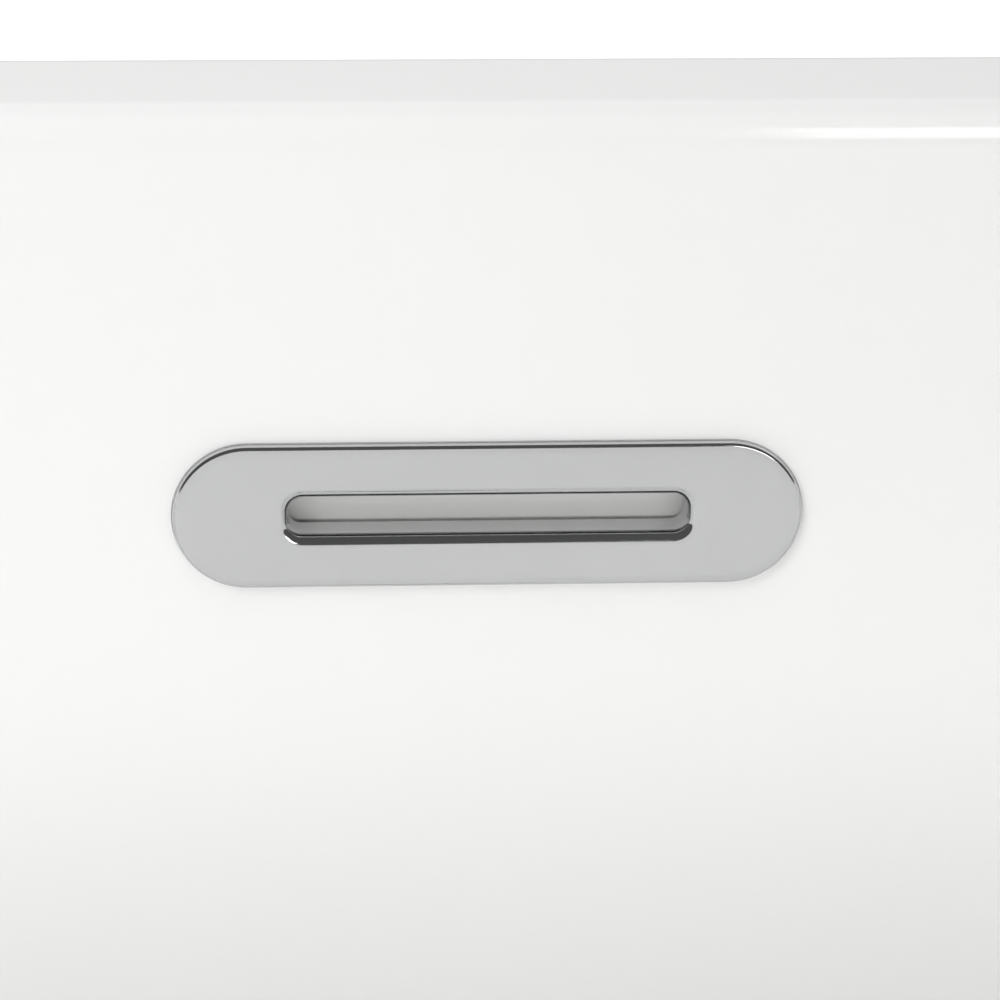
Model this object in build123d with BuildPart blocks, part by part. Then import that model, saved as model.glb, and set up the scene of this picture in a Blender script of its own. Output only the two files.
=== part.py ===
from build123d import *

import os
from math import atan2, cos, degrees, sin

# Freestanding double-wall bathtub with a slotted overflow in its long wall and a pop-up drain in its floor.
# Millimetres, +Z up. The origin is on the floor, under the middle of the tub, and +X runs along its length.

# The whole tub
LENGTH = 1700
WIDTH = 800
HEIGHT = 580
RIM_CORNER = 170
RIM_WIDTH = 38
RIM_THICKNESS = 5
BASIN_WALL = 5
SKIRT_WALL = 4
BASIN_SECTIONS = 17
SKIRT_SECTIONS = 9

# Rim lip, and the joint where the skirt comes up under it
LIP_HEIGHT = 20
SEAM = 1.5
TONGUE = 3
TONGUE_GAP = 0.3
TONGUE_RISE = 12
RIM_INNER_ROUND = 7
RIM_OUTER_ROUND = 4

# Each wall is a family of rounded rectangles along one cubic curve: four control values each, from top to bottom
FLOOR_Z = 140
INNER_HALF_LENGTH = LENGTH / 2 - RIM_WIDTH
INNER_HALF_WIDTH = WIDTH / 2 - RIM_WIDTH
BASIN_Z = (HEIGHT, 262, FLOOR_Z, FLOOR_Z)
BASIN_BACK_Z = (HEIGHT, 262, FLOOR_Z - BASIN_WALL, FLOOR_Z - BASIN_WALL)
BASIN_HALF_LENGTH = (INNER_HALF_LENGTH, INNER_HALF_LENGTH - 150, INNER_HALF_LENGTH - 202, 540)
BASIN_HALF_WIDTH = (INNER_HALF_WIDTH, INNER_HALF_WIDTH - 54, INNER_HALF_WIDTH - 70, 215)
BASIN_CORNER = (RIM_CORNER - RIM_WIDTH, 150, 165, 150)
SKIRT_FOOT_Z = 8
SKIRT_TOP_Z = HEIGHT - LIP_HEIGHT - SEAM
SKIRT_Z = (SKIRT_TOP_Z, 375, 190, SKIRT_FOOT_Z)
SKIRT_HALF_LENGTH = (LENGTH / 2, LENGTH / 2 - 2, LENGTH / 2 - 26, LENGTH / 2 - 62)
SKIRT_HALF_WIDTH = (WIDTH / 2, WIDTH / 2 - 2, WIDTH / 2 - 22, WIDTH / 2 - 58)
SKIRT_CORNER = (RIM_CORNER, RIM_CORNER, RIM_CORNER - 5, RIM_CORNER - 12)
SKIRT_FLANGE = 16

# Overflow in the long wall at +Y: where it sits down the wall's curve, and its plate, throat and box
OVERFLOW_T = 0.1245
LANDING_DEPTH = 0.4
LANDING_MARGIN = 0.2
PLATE_LENGTH = 170
PLATE_HEIGHT = 40
PLATE_THICKNESS = 2.6
PLATE_ROUND = 1.1
SLOT_LENGTH = 108
SLOT_HEIGHT = 10.5
SLOT_CORNER = 4
SLOT_ROUND = 3
THROAT_WALL = 3
THROAT_DEPTH = 8.5
GASKET = 0.8
GASKET_INSET = 2
WALL_AT_LANDING = 4.2
BOX_GASKET = 1
BOX_FLANGE_LENGTH = 166
BOX_FLANGE_HEIGHT = 60
BOX_FLANGE = 3
BOX_LENGTH = 130
BOX_TOP = 20
BOX_BOTTOM = -44
BOX_BACK = -37
BOX_WALL = 2.5
BOX_FLANGE_CORNER = 10
BOX_CORNER = 8
BOX_MOUTH_MARGIN = 14
BOX_MOUTH_CORNER = 8
BOX_NUT_FLATS = 8
BAFFLE = 2
BAFFLE_DEPTH = 12.5
BAFFLE_BOTTOM = -17
STUD_X = 74
STUD_RADIUS = 2.5
STUD_LENGTH = 17
SPIGOT_RADIUS = 12.5
SPIGOT_WALL = 2
SPIGOT_DEPTH = 23
SPIGOT_END = -70

# Drain at the middle of the floor
SUMP_RADIUS = 50
SUMP_DEPTH = 3
BOSS_RADIUS = 55
DRAIN_HOLE_RADIUS = 26
DRAIN_RADIUS = 23
DRAIN_BORE = 20
FLANGE_RADIUS = 35
TEE_RADIUS = 27
TEE_TOP = 112
TEE_FLOOR = 50
PORT_Z = 66
PORT_END = 62
TAIL_RADIUS = 20
TAIL_NECK = 19.5
TAIL_BORE = 18
TAIL_END = 10
TAIL_SHOULDER = 31
SUMP_Z = FLOOR_Z - SUMP_DEPTH
SUMP_ROUND = SUMP_DEPTH / 2 - 0.1
DRAIN_GASKET = 1.2
SEAT_HEIGHT = 1.6
TUBE_END = 94
HUB_Z = 100
HUB_HEIGHT = 6
HUB_RADIUS = 7
HUB_BORE = 4
SPOKE_WIDTH = 3
DRAIN_NUT_FLATS = 60
DRAIN_WASHERS = (("drain_washer", 34, 3), ("drain_friction_ring", 33, 1))
COLLAR_END = 38
COLLAR_RADIUS = 24
WASHER_BOTTOM = COLLAR_END - 3.5
SLIP_NUT_FLATS = 58
SLIP_NUT_HEIGHT = 14

# Pop-up plug
CARTRIDGE_TOP = 130
CARTRIDGE_RADIUS = 7.5
STEM_RADIUS = 5
STEM_FOOT = 116
SPRING_SEAT = HUB_Z + HUB_HEIGHT + 2
SPRING_WIRE = 0.45
SPRING_COIL = 3.8
SPRING_TURNS = 4
CAP_UNDER = SUMP_Z + DRAIN_GASKET + SEAT_HEIGHT + 2
CAP_HEIGHT = 6
CAP_RADIUS = 31
CAP_BOSS_RADIUS = 9

# Overflow hose
HOSE_RADIUS = 15.5
HOSE_BORE = 12.6
HOSE_BEND = 120
HOSE_GRIP = 14
CLAMP_WIDTH = 10
CLAMP_BAND = 0.9

# Base board, steel frame and feet
BOARD = 12
BOARD_INSET = 10
BOARD_TOP = FLOOR_Z - BASIN_WALL
TUBE = 30
TUBE_WALL = 2
RAIL_Y = 170
RAIL_LENGTH = 1100
CROSS_X = (-480, -160, 160, 480)
CROSS_LENGTH = 660
RAIL_Z = BOARD_TOP - BOARD - TUBE / 2
CROSS_Z = RAIL_Z - TUBE
CROSS_UNDERSIDE = CROSS_Z - TUBE / 2
FOOT_X = 480
FOOT_Y = 250
BLOCK_Y = 290
BLOCK_WIDTH = 60
BLOCK_HEIGHT = 40
BLOCK_GLUE = 0.2
BLOCK_SCREW_Y = 315
BOARD_SCREW_X = (-400, -250, 250, 400)
SCREW_RADIUS = 2.4
SCREW_HEAD_RADIUS = 4.6
SCREW_HEAD_HEIGHT = 3.4
BLOCK_SCREW_COVER = 8
BOARD_SCREW_COVER = 3
THREAD_GAP = 0.05
HOLE_GAP = 0.2

# Feet
STUD_FOOT_RADIUS = 6
STUD_FOOT_BOTTOM = 18
STUD_FOOT_TOP = CROSS_Z + TUBE / 2 + 11
STUD_HEXAGON = 13
STUD_HEXAGON_HEIGHT = 9
BALL_RADIUS = 7
BALL_NECK = 4.5
BALL_Z = 10
NUT_HEIGHT = 10
LOCK_NUT_HEIGHT = 8
NUT_FLATS = 19


def on_curve(controls, t):
    """The point at t, from 0 at the top to 1 at the bottom, of a cubic curve with these four control values."""
    a, b, c, d = controls
    return a * (1 - t) ** 3 + 3 * b * (1 - t) ** 2 * t + 3 * c * (1 - t) * t**2 + d * t**3


def curve_slope(controls, t):
    """The curve's rate of change at t."""
    a, b, c, d = controls
    return 3 * (b - a) * (1 - t) ** 2 + 6 * (c - b) * (1 - t) * t + 3 * (d - c) * t**2


def tapered_body(heights, half_lengths, half_widths, corners, sections, grow=0.0):
    """A solid through rounded rectangles along the curves, each grown outwards by the same amount."""
    with BuildPart() as body:
        for i in range(sections):
            t = i / (sections - 1)
            with BuildSketch(Plane.XY.offset(on_curve(heights, t))):
                RectangleRounded(
                    2 * (on_curve(half_lengths, t) + grow),
                    2 * (on_curve(half_widths, t) + grow),
                    on_curve(corners, t) + grow,
                )
        loft(ruled=True)
    return body.part


def rim_ring(top, bottom, outer_inset, inner_inset):
    """A band that follows the rim's outline between two insets."""
    with BuildPart() as band:
        with BuildSketch(Plane.XY.offset(bottom)):
            for inset, mode in ((outer_inset, Mode.ADD), (inner_inset, Mode.SUBTRACT)):
                RectangleRounded(LENGTH - 2 * inset, WIDTH - 2 * inset, RIM_CORNER - inset, mode=mode)
        extrude(amount=top - bottom)
    return band.part


def turned(*points):
    """A solid of revolution about Z from its (radius, height) outline."""
    with BuildPart() as piece:
        with BuildSketch(Plane.XZ):
            with BuildLine():
                Polyline(*points, close=True)
            make_face()
        revolve(axis=Axis.Z)
    return piece.part


def hexagon_nut(across_flats, bore, bottom, top):
    """A plain hexagon nut about Z."""
    with BuildPart() as nut:
        with BuildSketch(Plane.XY.offset(bottom)):
            RegularPolygon(across_flats / 2, 6, major_radius=False)
            Circle(bore, mode=Mode.SUBTRACT)
        extrude(amount=top - bottom)
    return nut.part


def square_tube(length, plane):
    """A square steel tube, centred on the plane's origin and running along the plane's normal."""
    with BuildPart() as tube:
        with BuildSketch(plane):
            Rectangle(TUBE, TUBE)
            Rectangle(TUBE - 2 * TUBE_WALL, TUBE - 2 * TUBE_WALL, mode=Mode.SUBTRACT)
        extrude(amount=length / 2, both=True)
    return tube.part


def save(part, name):
    """Labels a finished piece and writes its STEP file."""
    part.label = name
    export_step(part, f"parts/{name}.step")


os.makedirs("parts", exist_ok=True)

# The overflow's own frame: x along the tub, y up the wall, z out of the wall into the tub
wall_tilt = atan2(-curve_slope(BASIN_HALF_WIDTH, OVERFLOW_T), -curve_slope(BASIN_Z, OVERFLOW_T))
wall_normal = Vector(0, -cos(wall_tilt), sin(wall_tilt))
wall_point = Vector(0, on_curve(BASIN_HALF_WIDTH, OVERFLOW_T), on_curve(BASIN_Z, OVERFLOW_T))
landing = Plane(wall_point - wall_normal * LANDING_DEPTH, x_dir=(1, 0, 0), z_dir=wall_normal)
box_front = -WALL_AT_LANDING - BOX_GASKET
plate_back = GASKET
plate_face = GASKET + PLATE_THICKNESS
boss_bottom = FLOOR_Z - SUMP_DEPTH - BASIN_WALL

# Basin: the inner acrylic shell, with its flat rim and turned-down lip
basin_curves = (BASIN_HALF_LENGTH, BASIN_HALF_WIDTH, BASIN_CORNER, BASIN_SECTIONS)
basin_outside = tapered_body(BASIN_BACK_Z, *basin_curves, grow=BASIN_WALL)
basin_inside = tapered_body(BASIN_Z, *basin_curves)
rim_top_plate = rim_ring(HEIGHT, HEIGHT - RIM_THICKNESS, 0, RIM_WIDTH - BASIN_WALL / 2)
rim_lip = rim_ring(HEIGHT, HEIGHT - LIP_HEIGHT, 0, BASIN_WALL)
with BuildPart() as basin:
    add([basin_outside, rim_top_plate, rim_lip])
    with Locations((0, 0, boss_bottom)):
        Cylinder(BOSS_RADIUS, FLOOR_Z - boss_bottom, align=(Align.CENTER, Align.CENTER, Align.MIN))
    add(basin_inside, mode=Mode.SUBTRACT)
    rim_top = basin.faces().sort_by(Axis.Z)[-1]
    fillet(rim_top.inner_wires()[0].edges(), RIM_INNER_ROUND)
    rim_top = basin.faces().sort_by(Axis.Z)[-1]
    fillet(rim_top.outer_wire().edges(), RIM_OUTER_ROUND)
    with Locations((0, 0, FLOOR_Z)):
        CounterBoreHole(DRAIN_HOLE_RADIUS, SUMP_RADIUS, SUMP_DEPTH, 2 * BASIN_WALL)
    sump_edge = basin.edges().filter_by(GeomType.CIRCLE).filter_by(lambda e: abs(e.radius - SUMP_RADIUS) < 0.1)
    fillet(sump_edge, SUMP_ROUND)
    with BuildSketch(landing):
        SlotOverall(PLATE_LENGTH + 2 * LANDING_MARGIN, PLATE_HEIGHT + 2 * LANDING_MARGIN)
    extrude(amount=BASIN_WALL, mode=Mode.SUBTRACT)
    with BuildSketch(landing.offset(-WALL_AT_LANDING)):
        RectangleRounded(BOX_FLANGE_LENGTH + 6, BOX_FLANGE_HEIGHT + 6, 12)
    extrude(amount=-2 * BASIN_WALL, mode=Mode.SUBTRACT)
    with BuildSketch(landing):
        RectangleRounded(SLOT_LENGTH + 10, SLOT_HEIGHT + 10, 8)
        with Locations((-STUD_X, 0), (STUD_X, 0)):
            Circle(STUD_RADIUS + 0.5)
    extrude(amount=-2 * BASIN_WALL, mode=Mode.SUBTRACT)
save(basin.part, "basin")

# Skirt: the outer acrylic shell, with a tongue that laps up behind the rim's lip and a flange at its foot
skirt_curves = (SKIRT_Z, SKIRT_HALF_LENGTH, SKIRT_HALF_WIDTH, SKIRT_CORNER, SKIRT_SECTIONS)
skirt_outside = tapered_body(*skirt_curves)
skirt_inside = tapered_body(*skirt_curves, grow=-SKIRT_WALL)
tongue_outer = BASIN_WALL + TONGUE_GAP
tongue_inner = tongue_outer + TONGUE
tongue_web = rim_ring(SKIRT_TOP_Z, SKIRT_TOP_Z - SKIRT_WALL, SKIRT_WALL / 2, tongue_inner)
tongue = rim_ring(SKIRT_TOP_Z + TONGUE_RISE, SKIRT_TOP_Z - SKIRT_WALL, tongue_outer, tongue_inner)
with BuildPart() as skirt:
    add(skirt_outside)
    add(skirt_inside, mode=Mode.SUBTRACT)
    add([tongue_web, tongue])
    with BuildSketch(Plane.XY.offset(SKIRT_FOOT_Z)):
        for inset, mode in ((SKIRT_WALL / 2, Mode.ADD), (SKIRT_FLANGE, Mode.SUBTRACT)):
            RectangleRounded(
                2 * (SKIRT_HALF_LENGTH[3] - inset),
                2 * (SKIRT_HALF_WIDTH[3] - inset),
                SKIRT_CORNER[3] - inset,
                mode=mode,
            )
    extrude(amount=SKIRT_WALL)
save(skirt.part, "skirt")

# Sealant in the joint between lip and skirt
save(rim_ring(SKIRT_TOP_Z + SEAM, SKIRT_TOP_Z, 0.8, BASIN_WALL - 0.2), "rim_seam_seal")

# Base board: plywood bonded under the basin's floor
with BuildPart() as base_board:
    with BuildSketch(Plane.XY.offset(BOARD_TOP - BOARD)):
        RectangleRounded(
            2 * (BASIN_HALF_LENGTH[3] - BOARD_INSET),
            2 * (BASIN_HALF_WIDTH[3] - BOARD_INSET),
            BASIN_CORNER[3] - BOARD_INSET,
        )
        Circle(BOSS_RADIUS + 4, mode=Mode.SUBTRACT)
    extrude(amount=BOARD)
    with BuildSketch(Plane.XY.offset(BOARD_TOP - BOARD)):
        with Locations([(x, y) for x in BOARD_SCREW_X for y in (-RAIL_Y, RAIL_Y)]):
            Circle(SCREW_RADIUS)
    extrude(amount=BOARD - BOARD_SCREW_COVER, mode=Mode.SUBTRACT)
save(base_board.part, "base_board")

# Long rails under the board
for name, y in (("frame_rail_front", -RAIL_Y), ("frame_rail_rear", RAIL_Y)):
    rail_tube = square_tube(RAIL_LENGTH, Plane.YZ.shift_origin((0, y, RAIL_Z)))
    with BuildPart() as rail:
        add(rail_tube)
        with Locations([(x, y, RAIL_Z) for x in BOARD_SCREW_X]):
            Cylinder(SCREW_RADIUS + HOLE_GAP, TUBE + 2, mode=Mode.SUBTRACT)
    save(rail.part, name)

# Cross rails welded under the long rails; the outer two carry the feet
for number, x in enumerate(CROSS_X, 1):
    cross_tube = square_tube(CROSS_LENGTH, Plane.XZ.shift_origin((x, 0, CROSS_Z)))
    with BuildPart() as cross:
        add(cross_tube)
        with Locations([(x, y, CROSS_Z) for y in (-BLOCK_SCREW_Y, BLOCK_SCREW_Y)]):
            Cylinder(SCREW_RADIUS + HOLE_GAP, TUBE + 2, mode=Mode.SUBTRACT)
        if abs(x) == FOOT_X:
            with Locations([(x, y, CROSS_Z) for y in (-FOOT_Y, FOOT_Y)]):
                Cylinder(STUD_FOOT_RADIUS + 0.5, TUBE + 2, mode=Mode.SUBTRACT)
    save(cross.part, f"frame_cross_{number}")

# Plywood blocks bonded inside the skirt and screwed to the cross rails
block_limit = tapered_body(*skirt_curves, grow=-SKIRT_WALL - BLOCK_GLUE)
block_base = CROSS_Z + TUBE / 2
with BuildPart() as skirt_blocks:
    for x in CROSS_X:
        for side in (-1, 1):
            with Locations((x, side * (BLOCK_Y + 50), block_base + BLOCK_HEIGHT / 2)):
                Box(BLOCK_WIDTH, 100, BLOCK_HEIGHT)
    add(block_limit, mode=Mode.INTERSECT)
    with Locations([(x, y, block_base) for x in CROSS_X for y in (-BLOCK_SCREW_Y, BLOCK_SCREW_Y)]):
        Cylinder(SCREW_RADIUS, 2 * (BLOCK_HEIGHT - BLOCK_SCREW_COVER), mode=Mode.SUBTRACT)
save(skirt_blocks.part, "skirt_blocks")


def wood_screw(bottom, top):
    """A pan-head screw standing on its head: bottom is where the head bears, top is its point."""
    return turned(
        (0, bottom - SCREW_HEAD_HEIGHT),
        (SCREW_HEAD_RADIUS - 1.6, bottom - SCREW_HEAD_HEIGHT),
        (SCREW_HEAD_RADIUS, bottom - SCREW_HEAD_HEIGHT / 2),
        (SCREW_HEAD_RADIUS, bottom),
        (SCREW_RADIUS, bottom),
        (SCREW_RADIUS, top - 4),
        (0, top),
    )


block_screw = wood_screw(CROSS_UNDERSIDE, block_base + BLOCK_HEIGHT - BLOCK_SCREW_COVER)
with BuildPart() as block_screws:
    with Locations([(x, y, 0) for x in CROSS_X for y in (-BLOCK_SCREW_Y, BLOCK_SCREW_Y)]):
        add(block_screw)
save(block_screws.part, "block_screws")

board_screw = wood_screw(RAIL_Z - TUBE / 2, BOARD_TOP - BOARD_SCREW_COVER)
with BuildPart() as board_screws:
    with Locations([(x, y, 0) for x in BOARD_SCREW_X for y in (-RAIL_Y, RAIL_Y)]):
        add(board_screw)
save(board_screws.part, "board_screws")

# Levelling feet: a nylon pad, a steel stud that screws up into the cross rail, a weld nut and a lock nut
foot_places = [(x, y, 0) for x in (-FOOT_X, FOOT_X) for y in (-FOOT_Y, FOOT_Y)]
lock_top = CROSS_UNDERSIDE - NUT_HEIGHT - 0.1
weld_nut = hexagon_nut(NUT_FLATS, STUD_FOOT_RADIUS + THREAD_GAP, CROSS_UNDERSIDE - NUT_HEIGHT, CROSS_UNDERSIDE)
lock_nut = hexagon_nut(NUT_FLATS, STUD_FOOT_RADIUS + THREAD_GAP, lock_top - LOCK_NUT_HEIGHT, lock_top)
with BuildPart() as weld_nuts:
    with Locations(foot_places):
        add(weld_nut)
save(weld_nuts.part, "foot_weld_nuts")

with BuildPart() as lock_nuts:
    with Locations(foot_places):
        add(lock_nut)
save(lock_nuts.part, "foot_lock_nuts")

pad_body = turned((0, 0), (25, 0), (26, 1), (26, 4), (13, 10), (12, 16), (0, 16))
for number, place in enumerate(foot_places, 1):
    with BuildPart() as foot_pad:
        with Locations(place):
            add(pad_body)
            with Locations((0, 0, BALL_Z)):
                Sphere(BALL_RADIUS + 0.1, mode=Mode.SUBTRACT)
                Cylinder(BALL_NECK + 0.5, 10, align=(Align.CENTER, Align.CENTER, Align.MIN), mode=Mode.SUBTRACT)
    save(foot_pad.part, f"foot_pad_{number}")

    with BuildPart() as foot_stud:
        with Locations(place):
            with Locations((0, 0, BALL_Z)):
                Sphere(BALL_RADIUS)
                Cylinder(BALL_NECK, 10, align=(Align.CENTER, Align.CENTER, Align.MIN))
            with Locations((0, 0, STUD_FOOT_BOTTOM)):
                Cylinder(
                    STUD_FOOT_RADIUS,
                    STUD_FOOT_TOP - STUD_FOOT_BOTTOM,
                    align=(Align.CENTER, Align.CENTER, Align.MIN),
                )
        with BuildSketch(Plane.XY.offset(STUD_FOOT_BOTTOM)):
            with Locations(place):
                RegularPolygon(STUD_HEXAGON / 2, 6, major_radius=False)
        extrude(amount=STUD_HEXAGON_HEIGHT)
        fillet(foot_stud.faces().sort_by(Axis.Z)[-1].edges(), 1)
    save(foot_stud.part, f"foot_stud_{number}")

# Overflow trim: a stadium plate with a slot, the throat behind the slot, and two studs
with BuildPart() as overflow_trim:
    with BuildSketch(landing.offset(plate_back)):
        SlotOverall(PLATE_LENGTH, PLATE_HEIGHT)
    extrude(amount=PLATE_THICKNESS)
    fillet(overflow_trim.faces().sort_by(Axis((0, 0, 0), wall_normal))[-1].edges(), PLATE_ROUND)
    with BuildSketch(landing.offset(plate_back)):
        RectangleRounded(
            SLOT_LENGTH + 2 * THROAT_WALL,
            SLOT_HEIGHT + 2 * THROAT_WALL,
            SLOT_CORNER + THROAT_WALL,
        )
    extrude(amount=-THROAT_DEPTH - plate_back)
    with BuildSketch(landing.offset(plate_back)):
        with Locations((-STUD_X, 0), (STUD_X, 0)):
            Circle(STUD_RADIUS)
    extrude(amount=-STUD_LENGTH)
    with BuildSketch(landing.offset(plate_face)):
        RectangleRounded(SLOT_LENGTH, SLOT_HEIGHT, SLOT_CORNER)
    extrude(amount=-THROAT_DEPTH - plate_face, mode=Mode.SUBTRACT)
    plate_front = overflow_trim.faces().sort_by(Axis((0, 0, 0), wall_normal))[-1]
    fillet(plate_front.inner_wires()[0].edges(), SLOT_ROUND)
save(overflow_trim.part, "overflow_trim")

with BuildPart() as overflow_gasket:
    with BuildSketch(landing):
        SlotOverall(PLATE_LENGTH - 2 * GASKET_INSET, PLATE_HEIGHT - 2 * GASKET_INSET)
        RectangleRounded(SLOT_LENGTH + 8, SLOT_HEIGHT + 8, 7, mode=Mode.SUBTRACT)
        with Locations((-STUD_X, 0), (STUD_X, 0)):
            Circle(STUD_RADIUS + HOLE_GAP, mode=Mode.SUBTRACT)
    extrude(amount=GASKET)
save(overflow_gasket.part, "overflow_gasket")

with BuildPart() as box_gasket:
    with BuildSketch(landing.offset(-WALL_AT_LANDING)):
        RectangleRounded(BOX_FLANGE_LENGTH, BOX_FLANGE_HEIGHT, BOX_FLANGE_CORNER)
        RectangleRounded(
            SLOT_LENGTH + BOX_MOUTH_MARGIN, SLOT_HEIGHT + BOX_MOUTH_MARGIN, BOX_MOUTH_CORNER, mode=Mode.SUBTRACT
        )
        with Locations((-STUD_X, 0), (STUD_X, 0)):
            Circle(STUD_RADIUS + HOLE_GAP, mode=Mode.SUBTRACT)
    extrude(amount=-BOX_GASKET)
save(box_gasket.part, "overflow_box_gasket")

# Overflow box: the plastic housing behind the wall, with a spigot for the hose in its underside
box_height = BOX_TOP - BOX_BOTTOM
box_middle = (BOX_TOP + BOX_BOTTOM) / 2
spigot_plane = Plane(
    landing.from_local_coords(Vector(0, BOX_BOTTOM, -SPIGOT_DEPTH)), x_dir=(1, 0, 0), z_dir=-landing.y_dir
)
with BuildPart() as overflow_box:
    with BuildSketch(landing.offset(box_front)):
        RectangleRounded(BOX_FLANGE_LENGTH, BOX_FLANGE_HEIGHT, BOX_FLANGE_CORNER)
        with Locations((-STUD_X, 0), (STUD_X, 0)):
            Circle(STUD_RADIUS + HOLE_GAP, mode=Mode.SUBTRACT)
    extrude(amount=-BOX_FLANGE)
    with BuildSketch(landing.offset(box_front - 1)):
        with Locations((0, box_middle)):
            RectangleRounded(BOX_LENGTH, box_height, BOX_CORNER)
    extrude(amount=BOX_BACK - box_front + 1)
    fillet(overflow_box.faces().sort_by(Axis((0, 0, 0), wall_normal))[0].edges(), 5)
    with BuildSketch(landing.offset(box_front - BOX_FLANGE)):
        with Locations((0, box_middle)):
            RectangleRounded(BOX_LENGTH - 2 * BOX_WALL, box_height - 2 * BOX_WALL, BOX_CORNER - 2)
    extrude(amount=BOX_BACK + BOX_WALL - box_front + BOX_FLANGE, mode=Mode.SUBTRACT)
    with BuildSketch(landing.offset(box_front)):
        RectangleRounded(SLOT_LENGTH + BOX_MOUTH_MARGIN, SLOT_HEIGHT + BOX_MOUTH_MARGIN, BOX_MOUTH_CORNER)
    extrude(amount=-BOX_FLANGE - 1, mode=Mode.SUBTRACT)
    with BuildSketch(spigot_plane):
        Circle(SPIGOT_RADIUS)
    extrude(amount=BOX_BOTTOM - SPIGOT_END)
    with BuildSketch(spigot_plane.offset(-BOX_WALL)):
        Circle(SPIGOT_RADIUS - SPIGOT_WALL)
    extrude(amount=BOX_WALL + BOX_BOTTOM - SPIGOT_END, mode=Mode.SUBTRACT)
save(overflow_box.part, "overflow_box")

# Splash baffle: a plate clipped across the box just behind the throat, with the way down open below it
with BuildPart() as overflow_baffle:
    with BuildSketch(landing.offset(-BAFFLE_DEPTH)):
        with Locations((0, box_middle)):
            RectangleRounded(BOX_LENGTH - 2 * BOX_WALL, box_height - 2 * BOX_WALL, BOX_CORNER - 2)
        with Locations((0, BAFFLE_BOTTOM)):
            Rectangle(BOX_LENGTH, 2 * BOX_TOP, align=(Align.CENTER, Align.MIN), mode=Mode.INTERSECT)
    extrude(amount=-BAFFLE)
save(overflow_baffle.part, "overflow_baffle")

with BuildPart() as overflow_nuts:
    for x in (-STUD_X, STUD_X):
        with BuildSketch(landing.offset(box_front - BOX_FLANGE)):
            with Locations((x, 0)):
                Circle(6)
                Circle(STUD_RADIUS + THREAD_GAP, mode=Mode.SUBTRACT)
        extrude(amount=-1)
        with BuildSketch(landing.offset(box_front - BOX_FLANGE - 1)):
            with Locations((x, 0)):
                RegularPolygon(BOX_NUT_FLATS / 2, 6, major_radius=False)
                Circle(STUD_RADIUS + THREAD_GAP, mode=Mode.SUBTRACT)
        extrude(amount=-4)
save(overflow_nuts.part, "overflow_nuts")

# Overflow hose: from the box's spigot down behind the basin, then along under it to the drain tee
hose_start = spigot_plane.origin + spigot_plane.z_dir * 3
hose_turn = hose_start + spigot_plane.z_dir * ((hose_start.Z - PORT_Z) / cos(wall_tilt))
hose_end = Vector(0, TEE_RADIUS + 4, PORT_Z)
with BuildPart() as overflow_hose:
    with BuildLine() as hose_path:
        FilletPolyline(hose_start, hose_turn, hose_end, radius=HOSE_BEND)
    with BuildSketch(Plane(hose_start, x_dir=(1, 0, 0), z_dir=spigot_plane.z_dir)):
        Circle(HOSE_RADIUS)
        Circle(HOSE_BORE, mode=Mode.SUBTRACT)
    sweep(path=hose_path.wires()[0])
save(overflow_hose.part, "overflow_hose")

for name, middle, axis in (
    ("hose_clamp_upper", spigot_plane.origin + spigot_plane.z_dir * HOSE_GRIP, spigot_plane.z_dir),
    ("hose_clamp_lower", Vector(0, PORT_END - HOSE_GRIP, PORT_Z), Vector(0, 1, 0)),
):
    across = Plane(middle, x_dir=(1, 0, 0), z_dir=axis)
    with BuildPart() as clamp:
        with BuildSketch(across.offset(-CLAMP_WIDTH / 2)):
            Circle(HOSE_RADIUS + CLAMP_BAND)
            with Locations((HOSE_RADIUS + 3, 0)):
                RectangleRounded(8, 14, 1.5)
            Circle(HOSE_RADIUS, mode=Mode.SUBTRACT)
        extrude(amount=CLAMP_WIDTH)
    save(clamp.part, name)

# Drain flange: its dish in the sump, its threaded tube through the floor, and the hub that holds the cartridge
flange_under = SUMP_Z + DRAIN_GASKET
seat_z = flange_under + SEAT_HEIGHT
drain_tube = turned(
    (DRAIN_BORE, TUBE_END),
    (DRAIN_RADIUS, TUBE_END),
    (DRAIN_RADIUS, flange_under),
    (FLANGE_RADIUS - 0.6, flange_under),
    (FLANGE_RADIUS, flange_under + 0.6),
    (FLANGE_RADIUS - 0.6, flange_under + 1.6),
    (FLANGE_RADIUS - 3, flange_under + 2),
    (FLANGE_RADIUS - 6, seat_z),
    (DRAIN_BORE + 3, seat_z - 0.4),
    (DRAIN_BORE, seat_z - 4),
)
with BuildPart() as drain_flange:
    add(drain_tube)
    with BuildSketch(Plane.XY.offset(HUB_Z)):
        Circle(HUB_RADIUS)
        Circle(HUB_BORE, mode=Mode.SUBTRACT)
    extrude(amount=HUB_HEIGHT)
    with BuildSketch(Plane.XY.offset(HUB_Z)):
        for turn in (0, 60, 120):
            Rectangle(2 * DRAIN_BORE + 2, SPOKE_WIDTH, rotation=turn)
        Circle(HUB_RADIUS - 1, mode=Mode.SUBTRACT)
    extrude(amount=HUB_HEIGHT - 1)
save(drain_flange.part, "drain_flange")

save(
    turned(
        (DRAIN_HOLE_RADIUS, SUMP_Z),
        (FLANGE_RADIUS - 1, SUMP_Z),
        (FLANGE_RADIUS - 1, flange_under),
        (DRAIN_HOLE_RADIUS, flange_under),
    ),
    "drain_gasket",
)
nut_stack = boss_bottom
for name, radius, thickness in DRAIN_WASHERS:
    save(
        turned(
            (DRAIN_RADIUS + HOLE_GAP, nut_stack - thickness),
            (radius, nut_stack - thickness),
            (radius, nut_stack),
            (DRAIN_RADIUS + HOLE_GAP, nut_stack),
        ),
        name,
    )
    nut_stack = nut_stack - thickness
save(hexagon_nut(DRAIN_NUT_FLATS, DRAIN_RADIUS + THREAD_GAP, TEE_TOP + 1, nut_stack), "drain_lock_nut")

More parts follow.
